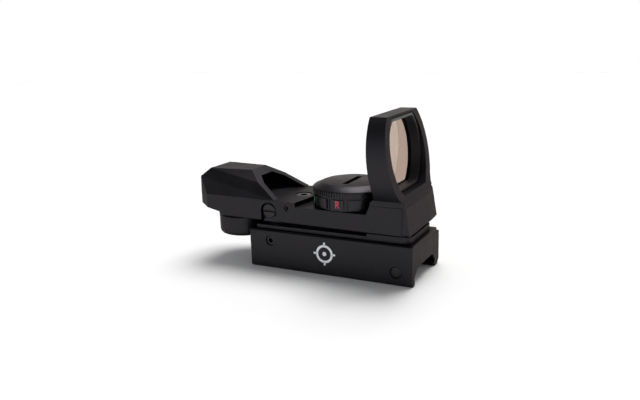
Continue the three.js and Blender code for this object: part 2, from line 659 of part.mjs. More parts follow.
// ---------------------------------------------------------------- brightness dial and battery
function brightnessDial() {
  const { radius, bottom, top, floor, pocket, threadFrom, x } = DIAL;
  const neck = radius - 0.35;
  const body = turned([
    [SPIGOT.bore, SPIGOT.bottom], [SPIGOT.radius, SPIGOT.bottom], [SPIGOT.radius, SPIGOT.grooveLow],
    [SPIGOT.groove, SPIGOT.grooveLow], [SPIGOT.groove, SPIGOT.grooveHigh], [SPIGOT.radius, SPIGOT.grooveHigh],
    [SPIGOT.radius, bottom], [neck, bottom], [radius, bottom + 0.35], [radius, top - 0.2], [radius - 0.2, top],
    [CAP.skirt + RUN, top], [CAP.skirt + RUN, threadFrom], [pocket, threadFrom], [pocket, floor],
    [SPIGOT.bore, floor], [SPIGOT.bore, SPIGOT.bottom],
  ], [x, 0], 40);
  const dimples = Array.from({ length: DIAL.clicks }, (_, i) => {
    const a = (i / DIAL.clicks) * 2 * Math.PI;
    const place = [x + DIAL_DETENT.offset * Math.cos(a), DIAL_DETENT.offset * Math.sin(a)];
    return hexBar('z', BALL.hole, bottom - 1, bottom + DETENT.dent, place);
  });
  return cut(body, detentRace(DIAL_DETENT.offset, bottom - 1, bottom + DETENT.race, [x, 0]), ...dimples);
}

function batteryCap() {
  const { radius, rimLow, rimTop, crown, crownRadius, skirt, skirtLow } = CAP;
  const inside = CELL.radius + THIN;
  const ceiling = CELL.z + CELL.thick + GAP;
  const groove = rimLow + SEAL.groove;
  const body = turned([
    [0, ceiling], [inside, ceiling], [inside, skirtLow], [skirt, skirtLow], [skirt, groove],
    [SEAL.outer, groove], [SEAL.outer, rimLow], [radius, rimLow], [radius, rimTop],
    [crownRadius, crown], [0, crown],
  ], [DIAL.x, 0], 40);
  const half = CAP_SLOT.length / 2;
  const slot = block(
    [DIAL.x - CAP_SLOT.width / 2, -half, crown - CAP_SLOT.depth],
    [DIAL.x + CAP_SLOT.width / 2, half, FAR],
  );
  return cut(body, slot);
}

// Rubber ring in the cap's groove.
const SEAL = { inner: 10.8, outer: 11.45, groove: 0.5 };

function capSeal() {
  return ring(SEAL.inner, SEAL.outer - RUN, DIAL.top + RUN, CAP.rimLow + SEAL.groove - RUN, [DIAL.x, 0], 32);
}

// The cell's small contact face stands a little proud of the can around it.
function coinCell() {
  const { radius, thick, z, button, step } = CELL;
  return turned([
    [0, z], [radius - button, z], [radius - button + THIN, z + step], [radius - THIN, z + step],
    [radius, z + step + THIN], [radius, z + thick], [0, z + thick],
  ], [DIAL.x, 0], 36);
}

function insulatingWasher() {
  const play = 0.02;
  return ring(SPIGOT.bore + THIN, CELL.radius, DIAL.floor + play, CELL.z - play, [DIAL.x, 0]);
}

const CONTACT_SPRING = { radius: 2.2, wire: 0.5, turns: 4 };

function batteryContact() {
  const low = BOARD.z + BOARD.thick + RUN;
  const geometry = coilSpring({ ...CONTACT_SPRING, height: CELL.z - RUN - low });
  geometry.translate(DIAL.x, 0, low);
  return solid(geometry);
}

const switchBoard = () => rod('z', BOARD.radius, BOARD.z, BOARD.z + BOARD.thick, [DIAL.x, 0], 40);

// Threaded ring that holds the switch board up in the well.
const COVER = { inner: 4.0, outer: 9.8, bottom: 16.4, thick: 1.3, pinRadius: 0.8, pinOffset: 7.0 };

function boardCover() {
  const { inner, outer, bottom, thick, pinRadius, pinOffset } = COVER;
  const branch = DIAL.x + RIBBON.branchFromDial;
  const cover = ring(inner, outer, bottom, bottom + thick, [DIAL.x, 0]);
  const spanner = [-1, 1].map((s) => rod('z', pinRadius, 0, bottom + pinRadius, [DIAL.x, s * pinOffset], 12));
  const notch = block([branch - 2.3, -FAR, 0], [branch + 0.4, RIBBON.boardEnd + 0.4, FAR]);
  return cut(cover, ...spanner, notch);
}

// Split ring in the spigot's groove, which keeps the dial from lifting.
const CLIP = { outer: 6.8, mouthHalf: 1.6 };

function dialClip() {
  const { outer, mouthHalf } = CLIP;
  const body = ring(SPIGOT.groove + RUN, outer, SPIGOT.grooveLow + RUN, SPIGOT.grooveHigh - RUN, [DIAL.x, 0]);
  return cut(body, block([DIAL.x, -mouthHalf, 0], [DIAL.x + FAR, mouthHalf, FAR]));
}

// Leaf contact under the dial, with two arms that brush the switch board's tracks.
const WIPER = { radius: 6.2, armFrom: 5.6, armTo: 7.4, armHalf: 0.8, thick: 0.25, tip: 19.05 };

function dialWiper() {
  const { radius, armFrom, armTo, armHalf, thick, tip } = WIPER;
  const top = SPIGOT.bottom - RUN;
  const plate = ring(SPIGOT.bore, radius, top - thick, top, [DIAL.x, 0]);
  const arms = [0, Math.PI].map((angle) => {
    const turn = new THREE.Matrix4().makeRotationZ(angle).setPosition(DIAL.x, 0, 0);
    const arm = union(
      block([-armHalf, armFrom, top - thick], [armHalf, armTo, top]),
      block([-armHalf, armTo - thick, tip], [armHalf, armTo, top]),
    );
    return solid(geometryOf(arm).applyMatrix4(turn));
  });
  return union(plate, ...arms);
}

// ---------------------------------------------------------------- lens hood

// Place something that stands across the sight line in the lens's leaning frame.
function leaning(body, play = 0) {
  const pivot = new THREE.Matrix4().makeTranslation(GLASS.x + play, 0, HOOD.centre);
  const lean = new THREE.Matrix4().makeRotationY(-THREE.MathUtils.degToRad(GLASS.tiltDeg));
  const home = new THREE.Matrix4().makeTranslation(0, 0, -HOOD.centre);
  const placed = geometryOf(body).applyMatrix4(pivot.multiply(lean).multiply(home));
  return solid(placed);
}

const barrel = (radius, top, bottom, from, to) => extrude('x', barrelOutline(radius, top, bottom), from, to);

function lensHood() {
  const { top, topRear, topFront, footHalf } = HOOD;
  const { rear, z, neckZ, neckRear, neckFront, front } = HOOD_FOOT;
  const profile = sideView([
    [rear, z], [front, z], [front - 0.2, z + 1.2], [neckFront + 0.6, neckZ], [neckFront - 0.2, neckZ + 2.5],
    [topFront, top], [topRear, top], [neckRear, neckZ + 1.5], [neckRear - 0.5, neckZ - 0.8], [rear, z + 1.0],
  ], FAR);
  const round = barrel(HOOD.radius, top, 28.2, 30, 70);
  const foot = extrude('x', [[-footHalf, z], [footHalf, z], [footHalf, 28.4], [-footHalf, 28.4]], 30, 70);
  const apronSide = sideView([
    [APRON.rear, APRON.bottom], [APRON.front - 0.6, APRON.bottom], [APRON.front, APRON.bottom + APRON.lip],
    [front, z + GAP], [APRON.rear, z + GAP],
  ], FAR);
  const apronFront = extrude('x', [
    [-APRON.undercut, APRON.bottom], [APRON.undercut, APRON.bottom], [APRON.half, APRON.bottom + APRON.lip],
    [footHalf, z + GAP], [-footHalf, z + GAP], [-APRON.half, APRON.bottom + APRON.lip],
  ], 30, 70);
  const shape = union(union(round, foot).intersect(profile), apronSide.intersect(apronFront));
  return cut(
    shape,
    leaning(barrel(BORE.radius, BORE.top, BORE.bottom, 0, FAR)),
    leaning(barrel(BORE.lipRadius, BORE.lipTop, BORE.lipBottom, -FAR, 1)),
    rod('z', SCALLOP.radius, 0, SCALLOP.top, [DIAL.x, 0], 48),
    ...onBothSides(HOOD_SCREW).map((at) => rod('z', HOOD_SCREW.radius + GAP, 0, HOOD_SCREW.end + 0.3, at, 20)),
  );
}

const lens = () => leaning(
  barrel(GLASS.radius, GLASS.top, GLASS.bottom, GLASS.back, GLASS.back + GLASS.thick),
);

// Frame pressed in front of the glass.
function lensRing() {
  const from = GLASS.back + GLASS.thick + THIN;
  const to = from + RING.depth;
  const inner = [GLASS.radius - RING.wall, GLASS.top - RING.wall, GLASS.bottom + RING.wall];
  return leaning(cut(
    barrel(GLASS.radius, GLASS.top, GLASS.bottom, from, to),
    barrel(...inner, from - 1, to + 1),
  ));
}

// ---------------------------------------------------------------- materials
const paint = (color, roughness, metalness) => (
  new THREE.MeshStandardMaterial({ color, roughness, metalness })
);
const FINISH = {
  anodised: paint('#1b1b1d', 0.5, 0.6),
  moulded: paint('#161617', 0.55, 0.0),
  blackSteel: paint('#2a2b2d', 0.4, 0.8),
  brightSteel: paint('#a9abad', 0.3, 1.0),
  springSteel: paint('#8c8e90', 0.35, 1.0),
  brass: paint('#b08d4a', 0.35, 1.0),
  glass: paint('#c9a597', 0.05, 0.0),
  rubber: paint('#101010', 0.8, 0.0),
  board: paint('#1d5a35', 0.6, 0.0),
  ledClear: paint('#d8d2cc', 0.2, 0.0),
  ribbon: paint('#a8661f', 0.5, 0.0),
};

// ---------------------------------------------------------------- assembly
const sight = new THREE.Group();

function add(name, body, finish) {
  const mesh = new THREE.Mesh(geometryOf(body), FINISH[finish]);
  mesh.name = name;
  sight.add(mesh);
}

add('rail_base', railBase(), 'anodised');
add('clamp_jaw', clampJaw(), 'anodised');
add('clamp_bolt_front', clampBolt(BOLT.frontX, -BASE.halfWidth + 0.15), 'blackSteel');
add('clamp_bolt_rear', clampBolt(BOLT.rearX, BOLT.rearTip), 'blackSteel');
add('base_set_screw', baseSetScrew(), 'blackSteel');
add('adjusting_post', adjustingPost(), 'brightSteel');
add('pivot_plate', pivotPlate(), 'anodised');
add('yaw_pivot_screw', yawPivotScrew(), 'brightSteel');
SIDES.forEach(([name, side]) => add(`lift_spring_${name}`, liftSpring(side), 'springSteel'));
add('body_shell', bodyShell(), 'anodised');
add('pitch_pin', pivotPin(), 'brightSteel');
add('windage_screw', windageScrew(), 'blackSteel');
add('windage_spring', windageSpring(), 'springSteel');
add('elevation_screw', elevationScrew(), 'blackSteel');
add('elevation_lock_screw', lockScrew(), 'blackSteel');
add('emitter_housing', emitterHousing(), 'anodised');
add('emitter_baffle', emitterBaffle(), 'moulded');
SIDES.forEach(([name, side]) => {
  add(`housing_screw_${name}`, capScrew(HOUSING_SCREW, onSide(HOUSING_SCREW, side)), 'blackSteel');
});
add('led_board', ledBoard(), 'board');
add('led_holder', ledHolder(), 'moulded');
add('led', led(), 'ledClear');
add('led_ribbon', ledRibbon(), 'ribbon');
add('selector_knob', selectorKnob(), 'anodised');
add('selector_screw', selectorScrew(), 'blackSteel');
add('reticle_drum', reticleDrum(), 'moulded');
add('selector_detent_ball', detentBall(KNOB.x, KNOB_DETENT), 'brightSteel');
add('selector_detent_spring', detentSpring(KNOB.x, KNOB_DETENT), 'springSteel');
add('brightness_dial', brightnessDial(), 'anodised');
add('dial_clip', dialClip(), 'springSteel');
add('dial_wiper', dialWiper(), 'brass');
add('dial_detent_ball', detentBall(DIAL.x, DIAL_DETENT), 'brightSteel');
add('dial_detent_spring', detentSpring(DIAL.x, DIAL_DETENT), 'springSteel');
add('insulating_washer', insulatingWasher(), 'moulded');
add('coin_cell', coinCell(), 'brightSteel');
add('battery_cap', batteryCap(), 'anodised');
add('cap_seal', capSeal(), 'rubber');
add('switch_board', switchBoard(), 'board');
add('board_cover', boardCover(), 'moulded');
add('battery_contact', batteryContact(), 'springSteel');
add('lens_hood', lensHood(), 'anodised');
SIDES.forEach(([name, side]) => {
  add(`hood_screw_${name}`, capScrew(HOOD_SCREW, onSide(HOOD_SCREW, side)), 'blackSteel');
});
add('lens', lens(), 'glass');
add('lens_ring', lensRing(), 'moulded');

sight.position.set(-BASE.length / 2, 0, -RAIL.seat);

export default sight;
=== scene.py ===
# %% [markdown]
# # A red dot finder
# An open reflex sight on a clamp for a 21.2 mm accessory rail: a long black body, an emitter housing at the
# rear, a turret dial with the battery in it and a hooded, leaning lens at the front.
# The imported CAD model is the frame. Its shapes give every place and size here, and each visible piece gets the
# softened edges, the knurls, the marks and the finish that the CAD solids leave out.

# %% Load the frame
import json
import math

import bmesh
import bpy
from mathutils import Matrix, Vector


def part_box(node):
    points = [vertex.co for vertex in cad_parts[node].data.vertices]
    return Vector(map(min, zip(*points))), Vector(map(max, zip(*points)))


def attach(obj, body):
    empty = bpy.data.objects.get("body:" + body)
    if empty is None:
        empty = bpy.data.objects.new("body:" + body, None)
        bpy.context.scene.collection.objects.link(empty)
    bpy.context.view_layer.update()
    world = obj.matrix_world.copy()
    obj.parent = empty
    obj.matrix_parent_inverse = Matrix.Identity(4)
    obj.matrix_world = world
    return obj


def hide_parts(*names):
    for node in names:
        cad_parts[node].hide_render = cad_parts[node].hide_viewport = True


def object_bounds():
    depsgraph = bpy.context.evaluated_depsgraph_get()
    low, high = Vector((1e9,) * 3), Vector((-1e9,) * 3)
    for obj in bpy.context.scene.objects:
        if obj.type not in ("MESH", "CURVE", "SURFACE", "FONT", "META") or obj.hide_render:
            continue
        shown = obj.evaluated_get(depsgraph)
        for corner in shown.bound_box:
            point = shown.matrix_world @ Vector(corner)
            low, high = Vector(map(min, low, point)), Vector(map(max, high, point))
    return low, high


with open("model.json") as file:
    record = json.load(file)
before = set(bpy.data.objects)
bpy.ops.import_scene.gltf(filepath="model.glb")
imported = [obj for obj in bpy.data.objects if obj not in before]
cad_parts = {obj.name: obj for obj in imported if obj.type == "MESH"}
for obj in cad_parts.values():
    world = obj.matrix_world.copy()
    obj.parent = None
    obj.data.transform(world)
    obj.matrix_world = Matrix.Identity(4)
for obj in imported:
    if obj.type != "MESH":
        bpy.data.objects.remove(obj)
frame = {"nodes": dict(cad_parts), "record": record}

CAD_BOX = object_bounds()
MM = 0.001  # the scene is in metres, and the sizes below are given in mm
SAME_POINT = 2e-6  # corners of a CAD mesh closer than this are one corner
FLAT = math.radians(1.0)  # faces that meet at less than this are one flat face

# %% Look up what the record says of each node
RECORD = frame["record"]
SLOT_OF = {s["node"]: s["material_slot"] for s in RECORD["subparts"]}
BODY_OF = {node: body for body, nodes in RECORD["behaviour"]["bodies"].items() for node in nodes}


def centre_of(node):
    low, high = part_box(node)
    return (low + high) / 2


def size_of(node):
    low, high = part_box(node)
    return high - low


LOW, HIGH = (Vector(corner) for corner in CAD_BOX)
print("size in mm:", [round(side / MM, 1) for side in HIGH - LOW])

# %% [markdown]
# ## Finishes
# Each finish is a small node tree on the Principled shader. Colours are written as sRGB hex, as a paint chart
# would give them, and one function turns them into the linear values that the renderer works in. Patterns read
# Object coordinates, which are metres here, so the scale of a Noise texture is one over the grain size in metres.

# %% Colour and node helpers
def linear(hex_colour, alpha=1.0):
    """An sRGB colour as the linear values that shader sockets take."""
    channels = [int(hex_colour[i:i + 2], 16) / 255 for i in (1, 3, 5)]
    return [c / 12.92 if c <= 0.04045 else ((c + 0.055) / 1.055) ** 2.4 for c in channels] + [alpha]


def add_node(tree, kind, inputs=None, **settings):
    """Add one node: plain values go into its sockets, and sockets of other nodes are linked."""
    node = tree.nodes.new(kind)
    for key, value in settings.items():
        setattr(node, key, value)
    for key, value in (inputs or {}).items():
        if isinstance(value, bpy.types.NodeSocket):
            tree.links.new(value, node.inputs[key])
        else:
            node.inputs[key].default_value = value
    return node


def new_finish(name, **constants):
    """A material with its shader's constant sockets set, its tree, its shader and its Object coordinates."""
    material = bpy.data.materials.new(name)
    material.use_nodes = True
    tree = material.node_tree
    shader = tree.nodes["Principled BSDF"]
    for key, value in constants.items():
        shader.inputs[key.replace("_", " ")].default_value = value
    coordinates = add_node(tree, "ShaderNodeTexCoord").outputs["Object"]
    return material, tree, shader, coordinates


def mottle(tree, shader, coordinates, dark, light, patch_mm, rough):
    """Slow drift of colour and gloss across a surface, as handling and the finishing bath leave."""
    noise = add_node(tree, "ShaderNodeTexNoise", {
        "Vector": coordinates, "Scale": 1 / (patch_mm * MM), "Detail": 4.0, "Roughness": 0.55})
    colour = add_node(tree, "ShaderNodeMix", {
        "Factor": noise.outputs["Fac"], 6: linear(dark), 7: linear(light)}, data_type="RGBA")
    tree.links.new(colour.outputs[2], shader.inputs["Base Color"])
    gloss = add_node(tree, "ShaderNodeMapRange", {
        "Value": noise.outputs["Fac"], "From Min": 0.3, "From Max": 0.7, "To Min": rough[0], "To Max": rough[1]})
    tree.links.new(gloss.outputs["Result"], shader.inputs["Roughness"])


def grain(tree, shader, coordinates, grain_mm, height_mm, strength=0.5, stretch=(1, 1, 1)):
    """Fine relief. stretch draws it out along an axis, as brushing does."""
    mapping = add_node(tree, "ShaderNodeMapping", {"Vector": coordinates, "Scale": stretch})
    noise = add_node(tree, "ShaderNodeTexNoise", {
        "Vector": mapping.outputs["Vector"], "Scale": 1 / (grain_mm * MM), "Detail": 3.0})
    bump = add_node(tree, "ShaderNodeBump", {
        "Height": noise.outputs["Fac"], "Distance": height_mm * MM, "Strength": strength})
    tree.links.new(bump.outputs["Normal"], shader.inputs["Normal"])


print("linear mid grey:", [round(c, 3) for c in linear("#808080")])

# %% [markdown]
# ### Black anodised aluminium
# The body, base, hood and dial are die-cast or machined aluminium, bead-blasted and dyed black in the anodising
# bath. The blasting leaves a satin surface with a very fine tooth. Light goes through the dyed oxide to the metal
# and back, so the shader is a metal with the dark colour of the dye, and its Specular Tint is below white because
# the dye also swallows part of the glancing light. A real bead-blasted grain is near 0.1 mm: it is drawn at 0.3 mm
# so that it still shows.

# %% Black anodised aluminium
DYED = {"Metallic": 1.0, "Specular_Tint": linear("#c8c4c2")}
ANODISED, tree, shader, where = new_finish("black_anodised_aluminium", **DYED)
mottle(tree, shader, where, "#2b2a2c", "#353337", 7.0, (0.36, 0.46))
grain(tree, shader, where, 0.3, 0.02, 0.35)

# The rounded edges take a lighter colour than the faces: a painted highlight where the bevels catch the light.
EDGE_HIGHLIGHT, tree, shader, where = new_finish("black_anodised_painted_edge_highlight", **DYED)
mottle(tree, shader, where, "#38373a", "#4c4b4e", 1.6, (0.30, 0.42))
grain(tree, shader, where, 0.3, 0.02, 0.3)

# The dial and cap are turned on a lathe before anodising, so their grain is a little finer and glossier.
TURNED, tree, shader, where = new_finish("black_anodised_turned", **DYED)
mottle(tree, shader, where, "#2e2d2f", "#3a383b", 4.0, (0.32, 0.42))
grain(tree, shader, where, 0.25, 0.015, 0.3)
print("anodised finishes:", ANODISED.name, EDGE_HIGHLIGHT.name, TURNED.name)

# %% [markdown]
# ### Steel, brass and springs
# Screws are blackened steel, which shows a dull brown-grey where the tool or the thread has touched it. The post,
# pins, balls and the cell's can are bright steel. Steel is a metal through and through, so Metallic is 1 and the
# colour is that of the reflection itself.

# %% Metals
BLACKENED, tree, shader, where = new_finish("blackened_steel", Metallic=0.9)
mottle(tree, shader, where, "#29292b", "#3c3b3c", 1.2, (0.34, 0.5))
grain(tree, shader, where, 0.2, 0.02, 0.4)

BRIGHT, tree, shader, where = new_finish("bright_turned_steel", Metallic=1.0)
mottle(tree, shader, where, "#9d9ea0", "#c4c5c6", 0.9, (0.28, 0.42))
grain(tree, shader, where, 0.18, 0.02, 0.5)

WIRE, tree, shader, where = new_finish("drawn_spring_wire", Metallic=1.0)
mottle(tree, shader, where, "#77797c", "#a0a2a4", 0.8, (0.25, 0.4))
grain(tree, shader, where, 0.1, 0.01, 0.3)

BRASS, tree, shader, where = new_finish("stamped_brass", Metallic=1.0)
mottle(tree, shader, where, "#b48a3c", "#cfa95c", 1.5, (0.25, 0.4))
grain(tree, shader, where, 0.3, 0.01, 0.3, (1, 6, 1))
print("metals:", BLACKENED.name, BRIGHT.name, WIRE.name, BRASS.name)

# %% [markdown]
# ### Plastics, rubber and paint
# The lens ring, the drum and the covers are black moulded plastic, with the faint orange-peel of a spark-eroded
# mould. The boards are glass fibre under green solder mask, the ribbon is amber polyimide film, and the marks are
# filled with paint.

# %% Plastics, rubber and paint
MOULDED, tree, shader, where = new_finish("black_moulded_plastic", IOR=1.46)
mottle(tree, shader, where, "#151517", "#1d1d20", 5.0, (0.38, 0.5))
grain(tree, shader, where, 0.35, 0.03, 0.3)

RUBBER, tree, shader, where = new_finish("black_seal_rubber", IOR=1.5)
mottle(tree, shader, where, "#0d0d0d", "#171717", 2.0, (0.6, 0.8))
grain(tree, shader, where, 0.3, 0.03, 0.4)

SOLDER_MASK, tree, shader, where = new_finish("green_solder_mask", IOR=1.5, Coat_Weight=0.3)
mottle(tree, shader, where, "#12402a", "#1e5a3a", 1.0, (0.3, 0.45))
grain(tree, shader, where, 0.5, 0.01, 0.2, (1, 1, 4))

FILM, tree, shader, where = new_finish("amber_polyimide_film", IOR=1.6)
mottle(tree, shader, where, "#8a4f14", "#b3701f", 2.0, (0.25, 0.4))
grain(tree, shader, where, 0.4, 0.01, 0.2)

LAMP, tree, shader, where = new_finish("clear_epoxy_lamp", IOR=1.52, Transmission_Weight=0.6)
mottle(tree, shader, where, "#e6ded8", "#f2ece8", 1.0, (0.08, 0.16))
grain(tree, shader, where, 0.5, 0.005, 0.2)

RED_PAINT, tree, shader, where = new_finish("red_fill_paint", IOR=1.5)
mottle(tree, shader, where, "#c8283f", "#e04a62", 0.5, (0.4, 0.55))
grain(tree, shader, where, 0.15, 0.01, 0.3)

GREEN_PAINT, tree, shader, where = new_finish("green_fill_paint", IOR=1.5)
mottle(tree, shader, where, "#2f9a55", "#58c27c", 0.5, (0.4, 0.55))
grain(tree, shader, where, 0.15, 0.01, 0.3)

WHITE_PAINT, tree, shader, where = new_finish("white_pad_print", IOR=1.5)
mottle(tree, shader, where, "#e9edf0", "#f8fafb", 1.0, (0.4, 0.55))
grain(tree, shader, where, 0.12, 0.01, 0.3)
print("plastics and paints:", MOULDED.name, RUBBER.name, SOLDER_MASK.name, FILM.name)

# %% [markdown]
# ### Coated lens
# The lens is a thin glass disc whose rear face reflects the red of the dot and lets the rest through. Seen from
# the front it looks rosy brown. The tint is paler than it looks, because light passes both faces. Bare glass has
# an IOR of 1.5 and would mirror the floor at this shallow angle: the anti-reflection coating stops most of that,
# which an IOR of 1.2 gives.

# %% Coated glass
COATED, tree, shader, where = new_finish("red_reflecting_coated_glass", IOR=1.2, Transmission_Weight=1.0)
mottle(tree, shader, where, "#b59e91", "#bca699", 14.0, (0.01, 0.03))

# The ground edge of the glass is painted black, and so is the narrow band under the hood's lip.
EDGE_BLACK, tree, shader, where = new_finish("black_lens_edge_paint", IOR=1.5, Specular_IOR_Level=0.2)
mottle(tree, shader, where, "#0c0c0d", "#131314", 1.0, (0.5, 0.65))
print("glass:", COATED.name, EDGE_BLACK.name)

# %% Give every CAD node its slot's finish
FINISH = {
    "anodised": ANODISED, "moulded": MOULDED, "black_steel": BLACKENED, "bright_steel": BRIGHT,
    "spring_steel": WIRE, "brass": BRASS, "lens_glass": COATED, "rubber": RUBBER, "board": SOLDER_MASK,
    "led_clear": LAMP, "ribbon": FILM,
}
for name, node in frame["nodes"].items():
    node.data.materials.clear()
    node.data.materials.append(FINISH[SLOT_OF[name]])
print("nodes with a finish:", len(frame["nodes"]))

# %% [markdown]
# ## Helpers for new pieces
# A new piece is made in a bmesh, in metres and in place, then turned into an object that sits at the origin. It
# rides on the body of the CAD node that it stands for.

# %% From bmesh to a piece
def make_piece(bm, name, node, *materials, stands_for=True, sharp_angle=30):
    """An object that rides with a CAD node, and replaces it when it stands for it."""
    mesh = bpy.data.meshes.new(name)
    bm.to_mesh(mesh)
    bm.free()
    for material in materials:
        mesh.materials.append(material)
    mesh.shade_smooth()
    mesh.set_sharp_from_angle(angle=math.radians(sharp_angle))
    piece = bpy.data.objects.new(name, mesh)
    bpy.context.scene.collection.objects.link(piece)
    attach(piece, BODY_OF[node])
    if stands_for:
        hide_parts(node)
    return piece


def tidy(bm):
    """Merge the points that coincide, and turn every face outward."""
    bmesh.ops.remove_doubles(bm, verts=bm.verts, dist=1e-6)
    bmesh.ops.recalc_face_normals(bm, faces=bm.faces)
    return bm


def lathe(profile, steps, centre=(0, 0)):
    """Spin (radius, height) points, in mm, about a vertical line through centre, in metres."""
    bm = bmesh.new()
    verts = [bm.verts.new((r * MM, 0, z * MM)) for r, z in profile]
    edges = [bm.edges.new(pair) for pair in zip(verts, verts[1:])]
    bmesh.ops.spin(bm, geom=verts + edges, cent=(0, 0, 0), axis=(0, 0, 1), angle=2 * math.pi,
                   steps=steps, use_merge=True)
    bmesh.ops.translate(bm, verts=bm.verts, vec=(centre[0], centre[1], 0))
    return tidy(bm)


def block(low, high):
    """A box between two corners, in metres."""
    bm = bmesh.new()
    low, high = Vector(low), Vector(high)
    bmesh.ops.create_cube(bm, size=1.0, matrix=Matrix.LocRotScale((low + high) / 2, None, high - low))
    return bm


def prism(sides, radius_mm, depth_mm):
    """An upright prism on the origin, from z = 0 down."""
    bm = bmesh.new()
    bmesh.ops.create_cone(bm, cap_ends=True, segments=sides, radius1=radius_mm * MM, radius2=radius_mm * MM,
                          depth=depth_mm * MM, matrix=Matrix.Translation((0, 0, -depth_mm * MM / 2)))
    return bm


def join(bm, other):
    """Add another bmesh to this one."""
    spare = bpy.data.meshes.new("spare")
    other.to_mesh(spare)
    other.free()
    bm.from_mesh(spare)
    bpy.data.meshes.remove(spare)


def carve(bm, *cutters):
    """Cut closed shapes out of a closed shape, with the exact Boolean."""
    objects = []
    for i, shape in enumerate([bm, *cutters]):
        mesh = bpy.data.meshes.new(f"carving_{i}")
        shape.to_mesh(mesh)
        shape.free()
        objects.append(bpy.data.objects.new(f"carving_{i}", mesh))
        bpy.context.scene.collection.objects.link(objects[-1])
    for cutter in objects[1:]:
        modifier = objects[0].modifiers.new("cut", "BOOLEAN")
        modifier.operation = "DIFFERENCE"
        modifier.solver = "EXACT"
        modifier.object = cutter
    cut = bmesh.new()
    cut.from_object(objects[0], bpy.context.evaluated_depsgraph_get())
    for o in objects:
        mesh = o.data
        bpy.data.objects.remove(o)
        bpy.data.meshes.remove(mesh)
    return cut


print("helpers ready")

# %% [markdown]
# ## Machined pieces
# The base, jaw, plate, body, housing, hood and lens ring have the right shape in CAD already, but their edges are
# perfectly sharp, and no real casting or moulding is. A copy of each is merged into one clean mesh, its flat areas
# are joined into single faces, and a Bevel modifier rounds the sharp edges. On the metal pieces the rounded strips
# take a lighter colour, a painted highlight along the edges. The housing is made of shallow facets, so its bevel
# starts at a smaller angle.

# %% Copies of the CAD shapes with softened edges
def softened_copy(node, width_mm, angle, segments=2, finish=ANODISED, edge=EDGE_HIGHLIGHT):
    """Show a CAD node with a bevel on every edge that is sharper than the angle, in degrees."""
    bm = bmesh.new()
    bm.from_mesh(frame["nodes"][node].data)
    bmesh.ops.remove_doubles(bm, verts=bm.verts, dist=SAME_POINT)
    bmesh.ops.dissolve_limit(bm, angle_limit=FLAT, verts=bm.verts, edges=bm.edges)
    for face in bm.faces:
        face.material_index = 0
    piece = make_piece(bm, f"{node}_shown", node, finish, edge, sharp_angle=angle)
    bevel = piece.modifiers.new("softened edges", "BEVEL")
    bevel.width = width_mm * MM
    bevel.segments = segments
    bevel.limit_method = "ANGLE"
    bevel.angle_limit = math.radians(angle)
    bevel.use_clamp_overlap = True
    # The bevel strips take the second material, the lighter one: a painted highlight along every softened edge.
    bevel.material = 1
    bevel.harden_normals = True


softened_copy("rail_base", 0.35, 30)
softened_copy("clamp_jaw", 0.35, 30)
softened_copy("pivot_plate", 0.25, 30)
softened_copy("body_shell", 0.28, 30)
softened_copy("emitter_housing", 0.35, 13, 3)
softened_copy("lens_hood", 0.3, 30)
softened_copy("lens_ring", 0.2, 30, finish=MOULDED, edge=MOULDED)
print("softened copies made")

# %% [markdown]
# ## Lens
# A flat disc with two straight sides top and bottom, leaning forward. Both faces are inset by the width of the
# lip that holds them, and the band outside the inset and the ground edge take the black paint.

# %% The lens with its blackened edge
lens = bmesh.new()
lens.from_mesh(frame["nodes"]["lens"].data)
bmesh.ops.remove_doubles(lens, verts=lens.verts, dist=SAME_POINT)
bmesh.ops.dissolve_limit(lens, angle_limit=FLAT, verts=lens.verts, edges=lens.edges)
clear_faces = [f for f in lens.faces if abs(f.normal.x) > 0.9]
for face in clear_faces:
    bmesh.ops.inset_region(lens, faces=[face], thickness=1.0 * MM, depth=0, use_even_offset=True)
for face in lens.faces:
    face.material_index = 0 if face in clear_faces else 1
make_piece(lens, "lens_shown", "lens", COATED, EDGE_BLACK)
print("clear faces:", len(clear_faces))

# %% [markdown]
# ## Brightness dial
# The dial is turned, then milled: fourteen raised pads carry the marks for two colours with four levels each,
# and a thin rib stands in each gap. The pads on both sides of each letter are off positions and stay blank. The
# ring is spun from its section, and the pads and ribs are made by insetting faces of its side and lifting them.

# %% The dial's ring and pads
PADS = 14
PAD_STEPS = 11
STEPS = 16  # faces of the ring for each pad: eleven of the pad, two of groove, one of rib, two of groove
PAD_LIFT, RIB_LIFT = 0.4, 0.25  # how far each stands out of the groove
DRAFT = 0.08  # how much narrower each is at its face than at its root
HUB_BORE, HUB = 3.2, 5.2  # radii of the hollow hub under the dial
CLIP_GROOVE = 4.6  # radius of the hub at the groove that takes the clip
POCKET, CELL_POCKET = 10.8, 10.25  # radii of the pocket for the cap's skirt and of the one for the cell
dial_low, dial_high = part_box("brightness_dial")
dial_centre = centre_of("brightness_dial")
dial_radius = (dial_high.x - dial_low.x) / 2 / MM
foot, top = dial_low.z / MM, dial_high.z / MM
FIRST_PAD = math.radians(-88)

groove = dial_radius - 0.45  # radius of the ring between the pads
underside = foot + 3.0
pad_foot, pad_top = foot + 3.3, top - 0.3
clip_low, clip_high = foot + 1.05, foot + 1.65
skirt_seat, cell_floor = top - 1.7, top - 3.1
dial = lathe([
    (HUB_BORE, foot), (HUB, foot), (HUB, clip_low), (CLIP_GROOVE, clip_low), (CLIP_GROOVE, clip_high),
    (HUB, clip_high), (HUB, underside), (groove, underside), (groove, pad_foot), (groove, pad_top), (groove, top),
    (POCKET, top), (POCKET, skirt_seat), (CELL_POCKET, skirt_seat), (CELL_POCKET, cell_floor),
    (HUB_BORE, cell_floor), (HUB_BORE, foot),
], PADS * STEPS, dial_centre)
bmesh.ops.rotate(dial, verts=dial.verts, cent=dial_centre, matrix=Matrix.Rotation(FIRST_PAD, 3, "Z"))


def turn_of(face, centre, start=0.0):
    """Which way a face looks from the centre, as a share of one turn after start."""
    out = face.calc_center_median() - centre
    return ((math.atan2(out.y, out.x) - start) / (2 * math.pi)) % 1.0


